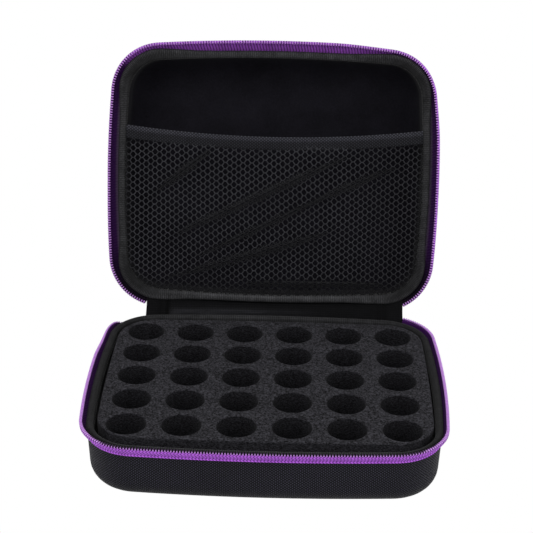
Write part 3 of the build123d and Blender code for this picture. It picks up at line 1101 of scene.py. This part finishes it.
class CASE_OT_foam(bpy.types.Operator):
    """Cuts the foam block and its bores"""

    bl_idname = "case.foam"
    bl_label = "Foam block"

    TOP = 2.2 * MM
    LIP = 0.9 * MM

    def execute(self, context):
        s = sizes()
        base, _ = halves()
        top, bottom = self.TOP, s.base_height - s.wall - s.lining - 0.2 * MM
        arcs = bowed_arcs(s.insert_width, s.insert_depth, 29 * MM, 1 * MM, 1 * MM)
        outline = [(12 * MM, top), *rounded((0, top), (12 * MM, top), (0, bottom), 1.2 * MM, 4)]
        outline += rounded((0, bottom), (0, top), (20 * MM, bottom), 11.5 * MM, 8)
        outline.append((13 * MM, bottom))
        block = sweep("foam_block", base, outline, arcs, 6 * MM, 2.5 * MM)
        block.location = (0.6 * MM, 2.1 * MM, 0)
        place(block)
        cutter = self.cutters(level(base, top), level(base, bottom))
        apply_modifier(block, "BOOLEAN", operation="DIFFERENCE", object=cutter, solver="EXACT")
        bpy.data.objects.remove(cutter)
        bpy.ops.object.shade_smooth_by_angle(angle=radians(35))
        lip, floor = level(base, top) - 0.7 * MM, level(base, bottom) + MM
        paint(block, lambda point: self.light(point, lip, floor))
        settle(block, base, foam_finish(), "foam", "foam_insert")
        return {"FINISHED"}

    def light(self, point, lip, floor):
        """Full on top and on the front face, darker down the bores, darkest on their floors."""
        if point.z > lip or point.y < -80 * MM:
            return 1.0
        return 0.12 if point.z < floor else 0.62

    def cutters(self, top, bottom):
        """A bore's cutter with a soft lip, revolved once and copied to the grid."""
        radius = sizes().bore / 2
        wide = radius + self.LIP
        outline = [(0, top + MM), (wide, top + MM), (wide, top)]
        for degrees in (112, 135, 157, 180):
            angle = radians(degrees)
            outline.append((wide + self.LIP * cos(angle), top - self.LIP + self.LIP * sin(angle)))
        outline += [(radius, bottom - MM), (0, bottom - MM)]
        draw("bore", [Vector((x, 0, z)) for x, z in outline])
        spin(56, 2 * pi)
        model = close_up(caps=False)
        columns = [(column - 2.5) * BORES_ACROSS for column in range(6)]
        lines = [0.7 * MM + (line - 2) * BORES_ALONG for line in range(5)]
        places = [Matrix.Translation((x, y, 0)) for x in columns for y in lines]
        return scatter(model, places, "bores")


def hem_curve():
    """Arc of the hem's upper edge with the lid shut: y of its centre, and its radius."""
    s = sizes()
    half = s.zip_width / 2
    sag = 9.2 * MM
    radius = (half**2 + sag**2) / (2 * sag)
    edge = s.zip_depth / 2 - 139.8 * MM
    return edge - radius, radius


def above_hinge(point):
    """How far a point of the shut lid lies in front of the zip line's back."""
    return sizes().zip_depth / 2 - point.y


class CASE_OT_net(bpy.types.Operator):
    """Knits the net of the lid's pocket"""

    bl_idname = "case.net"
    bl_label = "Pocket net"

    CELL = 7.0 * MM, 4.95 * MM
    YARN = 0.85 * MM
    LAYER = 0.9 * MM
    DROP = 5.6 * MM
    GATHER = 0.55
    FOLDS = (
        ((-92, 96), (-50, 129), 2.0, 4.0),
        ((-80, 60), (58, 126), 3.4, 4.5),
        ((-60, 44), (40, 92), 1.6, 3.0),
        ((-82, 26), (50, 66), 2.6, 4.5),
        ((-24, 22), (92, 24), 2.8, 3.5),
        ((20, 84), (96, 118), 1.2, 3.5),
    )

    def execute(self, context):
        half = halves()[1]
        net = self.honeycomb(*self.CELL)
        self.trim(net, half)
        count = len(net.data.polygons)
        for fold in self.FOLDS:
            self.double(net, fold, count)
        yarn = {"thickness": self.YARN, "offset": 0, "use_even_offset": True, "use_replace": True}
        apply_modifier(net, "WIREFRAME", **yarn)
        net.scale = (1, 1, 0.55)
        place(net)
        paint(net, self.light)
        for vertex in net.data.vertices:
            vertex.co += self.slack(vertex.co) + Vector((0, 0, level(half, self.DROP)))
        bpy.ops.object.shade_smooth()
        settle(net, half, net_yarn(), "net", "pocket_net")
        return {"FINISHED"}

    def honeycomb(self, wide, tall):
        """One six-sided cell, repeated by three arrays."""
        pick()
        bpy.ops.mesh.primitive_circle_add(vertices=6, radius=wide, fill_type="NGON")
        net = named("pocket_mesh")
        slant = (wide**2 + tall**2) / 8
        top = (slant - tall**2 / 4) * 2 / wide
        tip = slant * 2 / wide
        for vertex in net.data.vertices:
            side = 1 if vertex.co.y > 0 else -1
            end = 0 if abs(vertex.co.x) < wide / 4 else (-1 if vertex.co.x > 0 else 1)
            vertex.co = (side * (top if end else tip), end * tall / 2, 0)
        columns = ceil(sizes().zip_width / wide)
        rows = ceil(132 * MM / tall)
        array = {
            "use_relative_offset": False,
            "use_constant_offset": True,
            "use_merge_vertices": True,
            "merge_threshold": 0.05 * MM,
        }
        steps = (2, (wide / 2, tall / 2, 0)), (columns, (wide, 0, 0)), (rows, (0, tall, 0))
        for count, step in steps:
            apply_modifier(net, "ARRAY", count=count, constant_offset_displace=step, **array)
        net.location = (-columns * wide / 2, sizes().zip_depth / 2 - rows * tall, 0)
        place(net)
        return net

    def trim(self, net, half):
        """Cuts the net along the rim's sides and back, and behind the hem."""
        s = sizes()
        inset = wall_inset(half, 5 * MM, s.wall + s.lining - 0.5 * MM)
        centre, radius = hem_curve()
        edit()
        for index, arc in enumerate(rim_arcs()[:5]):
            cuts = 8 if index % 2 else 7
            for cut in range(cuts):
                share = (cut + 0.5) / cuts
                angle = arc[2] + share * arc[3]
                away = (cos(angle), sin(angle), 0)
                spot = on_arc(arc, share, inset, 0)
                bpy.ops.mesh.select_all(action="SELECT")
                bpy.ops.mesh.bisect(plane_co=spot, plane_no=away, clear_outer=True)
        self.choose(net, lambda middle: hypot(middle.x, middle.y - centre) < radius + 6.5 * MM)
        bpy.ops.mesh.delete(type="FACE")
        leave()

    def choose(self, net, rule, count=None):
        """Selects those of the first faces whose middle follows a rule."""
        mesh = bmesh.from_edit_mesh(net.data)
        mesh.faces.ensure_lookup_table()
        for face in mesh.faces[:count]:
            face.select_set(rule(face.calc_center_median()))
        bmesh.update_edit_mesh(net.data)

    def double(self, net, fold, count):
        """Lays a second layer of the first cells over a fold, drawn together across it."""

        def covered(middle):
            share, off, _ = self.beside_fold(middle, fold)
            return 0 < share < 1 and abs(off) < 2.4 * fold[3] * MM * sin(share * pi) ** 0.7

        edit("DESELECT")
        self.choose(net, covered, count)
        bpy.ops.mesh.duplicate_move(TRANSFORM_OT_translate={"value": (0, 0, -self.LAYER)})
        mesh = bmesh.from_edit_mesh(net.data)
        for vertex in mesh.verts:
            if vertex.select:
                _, off, across = self.beside_fold(vertex.co, fold)
                vertex.co.x -= self.GATHER * off * across.x
                vertex.co.y += self.GATHER * off * across.y
        bmesh.update_edit_mesh(net.data)
        leave()

    def beside_fold(self, point, fold):
        """Share along a fold, distance off its crest, and the direction across it."""
        start = Vector(fold[0]) * MM
        along = Vector(fold[1]) * MM - start
        here = Vector((point.x, above_hinge(point))) - start
        across = Vector((-along.y, along.x)).normalized()
        return here.dot(along) / along.length_squared, along.normalized().cross(here), across

    def folds(self, point):
        """Each fold by a point: how near, how far off its crest, the way across, and its lift."""
        for fold in self.FOLDS:
            (x0, h0), (x1, h1), lift, width = fold
            share, off, across = self.beside_fold(point, fold)
            fade = max(0.0, 1 - max(-share, share - 1, 0) * hypot(x1 - x0, h1 - h0) / 12)
            fade *= 0.55 + 0.45 * sin(share * pi) if 0 < share < 1 else 0.55
            yield fade * bell(off / (1.8 * width * MM)), off, across, lift * MM

    def light(self, point):
        """Darker in the folds, the second layer, at the rim, and toward the hinge and the right."""
        folded = min(sum(near for near, _, _, _ in self.folds(point)), 1)
        low = eased(-above_hinge(point), -34, -14)
        right = eased(point.x, 40, 100)
        rim = eased(beside(point, rim_arcs())[1], 11, 20)
        over = 0.4 if point.z < -0.25 * MM else 1.0
        aside = (1 - 0.6 * low) * (1 - 0.35 * right)
        return (1 - 0.4 * folded) * aside * (0.4 + 0.6 * rim) * over

    def slack(self, point):
        """Slack of the net: soft folds that run up to the right, with the yarn gathered in them."""
        wave = 0.9 * MM * sin(point.x / (17 * MM)) * sin(above_hinge(point) / (23 * MM))
        moved = Vector((0, 0, wave))
        for near, off, across, lift in self.folds(point):
            pull = -0.35 * off * near
            moved.x += across.x * pull
            moved.y -= across.y * pull
            moved.z -= lift * near
        return moved


class CASE_OT_hem(bpy.types.Operator):
    """Models the elastic hem along the pocket's mouth"""

    bl_idname = "case.hem"
    bl_label = "Pocket hem"

    EDGE = (0.0, 0.5), (0.25, 0.15)
    RIBS = (0.9, 0.0), (1.5, 0.3), (2.1, 0.0), (2.7, 0.3), (3.3, 0.0), (4.0, 0.35)
    FACE = (5.0, 0.2), (9.2, 0.2), (10.0, 0.35), (10.2, 0.7)
    BACK = (10.2, 1.3), (9.8, 1.6), (0.4, 1.6), (0.0, 1.2)
    HALF_ANGLE = 0.126

    def execute(self, context):
        half = halves()[1]
        centre, radius = hem_curve()
        start = pi / 2 - self.HALF_ANGLE
        points = []
        for across, deep in self.EDGE + self.RIBS + self.FACE + self.BACK:
            reach = radius + across * MM
            height = level(half, (4.8 + deep) * MM)
            points.append(Vector((reach * cos(start), centre + reach * sin(start), height)))
        draw("pocket_elastic", points + points[:1])
        spin(90, -2 * self.HALF_ANGLE, y=centre)
        hem = close_up(radians(60))
        lay_out(hem, lambda point, flat: (point.x, hypot(point.x, point.y - centre)))
        # Painted shade: the hem darker below its upper edge.
        paint(hem, lambda point: 1 - 0.62 * eased(hypot(point.x, point.y - centre) - radius, 2, 5))
        settle(hem, half, elastic(), "hem", "pocket_hem")
        return {"FINISHED"}


class CASE_OT_strip(bpy.types.Operator):
    """Sews the fabric hinge strip between base and lid"""

    bl_idname = "case.strip"
    bl_label = "Hinge strip"

    COLUMNS = 72
    SEAMS = (-87.7, -82.9, 87.1, 90.8)
    OFF_WALL = (9, 0.55), (5, 1.3)

    def execute(self, context):
        s = sizes()
        left = s.hinge_shift - s.hinge_length / 2
        points = self.section(left)
        strip = draw("hinge_cloth", points)
        pull_out((s.hinge_length / self.COLUMNS, 0, 0), self.COLUMNS)
        leave()
        self.shape(strip, points, left)
        paint(strip, self.light)
        edit()
        bpy.ops.mesh.normals_make_consistent(inside=False)
        leave()
        apply_modifier(strip, "SOLIDIFY", thickness=0.9 * MM, offset=0)
        apply_modifier(strip, "SUBSURF", levels=1, render_levels=1)
        bpy.ops.object.shade_smooth()
        finish_with(strip, strip_cloth())
        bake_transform(strip)
        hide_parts("hinge_strip_base", "hinge_strip_lid")
        return {"FINISHED"}

    def section(self, x):
        """Line of the strip at x: up the base's back, over the hinge and onto the lid's back."""
        s = sizes()
        hinge_y = s.zip_depth / 2 - s.hinge_inset
        near = 0.9 * MM
        (low, rim), (lid_low, lid_rim) = [
            [back_y(x, wall_inset(half, drop * MM, -off * MM)) for drop, off in self.OFF_WALL]
            for half in halves()
        ]
        reach, rim_reach = hinge_y - lid_low, hinge_y - lid_rim
        between = (rim + hinge_y) / 2
        base_side = (low, 10.2), (low, 8.0), (rim, 5.4), (between, 2.9), (hinge_y - near, 1.0)
        lid_side = (near, 1.0), (rim_reach / 2, 2.7), (rim_reach, 5.2), (reach, 7.6), (reach, 9.8)
        line = [Vector((x, y, s.base_height - drop * MM)) for y, drop in base_side]
        for away, rise in lid_side:
            y = hinge_y - away * cos(s.opening) + rise * MM * sin(s.opening)
            z = s.base_height + away * sin(s.opening) + rise * MM * cos(s.opening)
            line.append(Vector((x, y, z)))
        return line

    def light(self, point):
        """Dark at the seams, and light along a crease that fades to the right."""
        seam = max(bell((point.x - seam * MM) / (1.4 * MM)) for seam in self.SEAMS)
        crease = bell((point.z - 43.6 * MM) / (1.6 * MM)) * (1 - eased(point.x, -60, 60))
        return (1 - 0.75 * seam) * (0.8 + 4.2 * crease * eased(point.x, -82, -78))

    def shape(self, strip, points, left):
        """Follows the bowed walls, sags in the middle and pinches at the seams."""
        s = sizes()
        right = left + s.hinge_length
        for vertex in strip.data.vertices:
            index = min(range(len(points)), key=lambda i: (vertex.co.yz - points[i].yz).length)
            x = vertex.co.x
            vertex.co = self.section(min(max(x, left), right))[index]
            middle = max(0.0, 1 - ((x - s.hinge_shift) / (80 * MM)) ** 2)
            wave = 0.25 * MM * sin(x / (9 * MM)) + 0.2 * MM * sin(x / (4.3 * MM) + 1)
            if 3 <= index <= 6:
                vertex.co.y += 1.5 * MM * middle + wave
                vertex.co.z -= 0.6 * MM * middle - wave
            for seam in self.SEAMS:
                pinch = bell((x - seam * MM) / (1.1 * MM))
                vertex.co.z -= 0.5 * MM * pinch
                vertex.co.y += 0.3 * MM * pinch


def on_back(half, x, drop, out):
    """Point on the back wall, so far from the zip plane and so far off the wall."""
    return Vector((x, back_y(x, wall_inset(half, drop, -out)), level(half, drop)))


class CASE_OT_zip_ends(bpy.types.Operator):
    """Sews the turned-down ends of the zip on the back of the base"""

    bl_idname = "case.zip_ends"
    bl_label = "Zip ends"

    COLUMNS = 14
    TAPES = (10.35, 14.0), (17.2, 20.85)
    TEETH = 15.6

    def execute(self, context):
        base, _ = halves()
        cloth, plastic = zip_cloth(), tooth_plastic()
        for name, side in (("left", -1), ("right", 1)):
            self.tail(base, name, side, cloth)
            self.teeth(base, name, side, plastic)
        return {"FINISHED"}

    def along_strip(self, side, inset):
        """So far inside one end of the hinge strip."""
        s = sizes()
        return s.hinge_shift + side * (s.hinge_length / 2 - inset)

    def tail(self, half, name, side, finish):
        """Two tapes side by side, parted in front of the slider's wedge."""
        end, inner = self.along_strip(side, 0.4 * MM), self.along_strip(side, 32 * MM)
        pieces = []
        for low, high in self.TAPES:
            edge = [(1.2, low), (1.55, low - 0.05), (1.9, low), (1.75, (low + high) / 2)]
            edge += [(1.9, high), (1.55, high + 0.05), (1.2, high)]
            points = [on_back(half, end, drop * MM, out * MM) for out, drop in edge]
            draw("tape", points + points[:1])
            pull_out(((inner - end) / self.COLUMNS, 0, 0), self.COLUMNS)
            piece = close_up(radians(50))
            for vertex in piece.data.vertices:
                vertex.co.y += back_y(vertex.co.x, half.inset) - back_y(end, half.inset)
            pieces.append(piece)
        tail = join(pieces, f"zip_tail_{name}")
        lay_out(tail, lambda point, flat: (point.x, point.z))
        paint(tail, lambda point: 1.0)
        paint(tail, lambda point: 0.0, "Inside")
        settle(tail, half, finish, "zip_tape", f"zip_end_tape_{name}")

    def teeth(self, half, name, side, finish):
        """The last closed teeth behind the slider."""
        model = bar("tooth", (1.15 * MM, 1.5 * MM, 2.5 * MM), 0.4 * MM)
        start = self.along_strip(side, 21.8 * MM)
        places = []
        for number in range(8):
            drop = (self.TEETH + (0.95 if number % 2 else -0.95)) * MM
            spot = on_back(half, start - side * number * MM, drop, 2.7 * MM)
            places.append(Matrix.Translation(spot))
        teeth = scatter(model, places, f"zip_tail_teeth_{name}")
        paint(teeth, lambda point: 1.0)
        settle(teeth, half, finish, "zip_teeth", f"zip_end_teeth_{name}")


class CASE_OT_metal(bpy.types.Operator):
    """Lacquers the sliders, pulls and stops"""

    bl_idname = "case.metal"
    bl_label = "Sliders and stops"

    def execute(self, context):
        finish = lacquer()
        for name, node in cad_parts.items():
            if name.startswith(("slider", "pull", "zip_stop")):
                finish_with(node, finish)
        return {"FINISHED"}


class CASE_OT_stage(bpy.types.Operator):
    """Sets the floor, lights and camera"""

    bl_idname = "case.stage"
    bl_label = "Stage"

    LAMPS = (
        ((-0.5, -0.8, 1.2), (0, 0, 0.1), 0.9, 7),
        ((0.9, -0.5, 0.9), (0, 0, 0.1), 0.8, 3.5),
        ((0.0, 0.4, 1.4), (0, 0.05, 0), 0.8, 3),
    )
    AZIMUTH, ELEVATION, ROLL = radians(1.19), radians(25.02), radians(0.87)
    EYE = (0.0177, -0.9266, 0.5669)
    LENS = 97.24

    def execute(self, context):
        self.floor()
        self.world(context)
        self.lamps(context)
        self.camera(context)
        context.scene.view_settings.view_transform = "Standard"
        return {"FINISHED"}

    def floor(self):
        """A pale floor that the camera and mirrored rays see as plain white."""
        pick()
        bpy.ops.mesh.primitive_plane_add(size=6, location=(0, 0, -0.2 * MM))
        floor = named("floor")
        material = bpy.data.materials.new("pale_floor")
        nodes = Nodes(material)
        nodes.tree.nodes.clear()
        rays = "Is Camera Ray", "Is Glossy Ray"
        seen, mirrored = [nodes.add("ShaderNodeLightPath", ray) for ray in rays]
        white = nodes.add("ShaderNodeMath", inputs={0: seen, 1: mirrored}, operation="MAXIMUM")
        diffuse = nodes.add("ShaderNodeBsdfDiffuse", inputs={"Color": (*colours().floor, 1)})
        glow = nodes.add("ShaderNodeEmission", inputs={"Color": (1, 1, 1, 1)})
        mix = nodes.add("ShaderNodeMixShader", inputs={0: white, 1: diffuse, 2: glow})
        nodes.feed(mix, nodes.tree.nodes.new("ShaderNodeOutputMaterial").inputs["Surface"])
        floor.data.materials.append(material)

    def world(self, context):
        """White to the camera, and a soft light to all else."""
        world = bpy.data.worlds.new("studio")
        context.scene.world = world
        nodes = Nodes(world)
        seen = nodes.add("ShaderNodeLightPath", "Is Camera Ray")
        limits = {"Value": seen, "To Min": 0.42, "To Max": 1.0}
        strength = nodes.add("ShaderNodeMapRange", "Result", limits)
        back = nodes.tree.nodes["Background"].inputs
        nodes.feed(strength, back["Strength"])
        nodes.feed((1, 1, 1, 1), back["Color"])

    def lamps(self, context):
        for spot, aim, size, power in self.LAMPS:
            bpy.ops.object.light_add(type="AREA", location=spot)
            lamp = context.object
            lamp.data.size = size
            lamp.data.energy = power
            lamp.rotation_euler = (Vector(aim) - Vector(spot)).to_track_quat("-Z", "Y").to_euler()

    def camera(self, context):
        """The photograph's view, with its lens and slight roll."""
        az, el, roll = self.AZIMUTH, self.ELEVATION, self.ROLL
        back = Vector((sin(az) * cos(el), -cos(az) * cos(el), sin(el)))
        right = Vector((0, 0, 1)).cross(back).normalized()
        up = back.cross(right)
        side = cos(roll) * right + sin(roll) * up
        high = cos(roll) * up - sin(roll) * right
        turn = Matrix((side, high, back)).transposed().to_4x4()
        data = bpy.data.cameras.new("camera")
        data.lens = self.LENS
        data.sensor_width = 36
        camera = bpy.data.objects.new("camera", data)
        camera.matrix_world = Matrix.Translation(self.EYE) @ turn
        context.scene.collection.objects.link(camera)
        context.scene.camera = camera


class CASE_PT_panel(bpy.types.Panel):
    """Lists the pieces of the case"""

    bl_idname = "CASE_PT_panel"
    bl_label = "Bottle case"
    bl_space_type = "VIEW_3D"
    bl_region_type = "UI"
    bl_category = "Case"

    def draw(self, context):
        for step in STEPS:
            self.layout.operator(step.bl_idname)
        for group in (context.scene.case_sizes, context.scene.case_colours):
            box = self.layout.box()
            for key in group.__annotations__:
                box.prop(group, key)


STEPS = (
    CASE_OT_covers,
    CASE_OT_linings,
    CASE_OT_bindings,
    CASE_OT_zip_tapes,
    CASE_OT_zip_teeth,
    CASE_OT_foam,
    CASE_OT_net,
    CASE_OT_hem,
    CASE_OT_strip,
    CASE_OT_zip_ends,
    CASE_OT_metal,
    CASE_OT_stage,
)
CLASSES = (CaseSizes, CaseColours, *STEPS, CASE_PT_panel)


def register():
    for entry in CLASSES:
        bpy.utils.register_class(entry)
    bpy.types.Scene.case_sizes = bpy.props.PointerProperty(type=CaseSizes)
    bpy.types.Scene.case_colours = bpy.props.PointerProperty(type=CaseColours)


def unregister():
    del bpy.types.Scene.case_colours
    del bpy.types.Scene.case_sizes
    for entry in reversed(CLASSES):
        bpy.utils.unregister_class(entry)


def main():
    """Builds every piece in turn, and keeps the two boxes."""
    register()
    for step in STEPS:
        group, name = step.bl_idname.split(".")
        getattr(getattr(bpy.ops, group), name)()


if __name__ == "__main__":
    main()
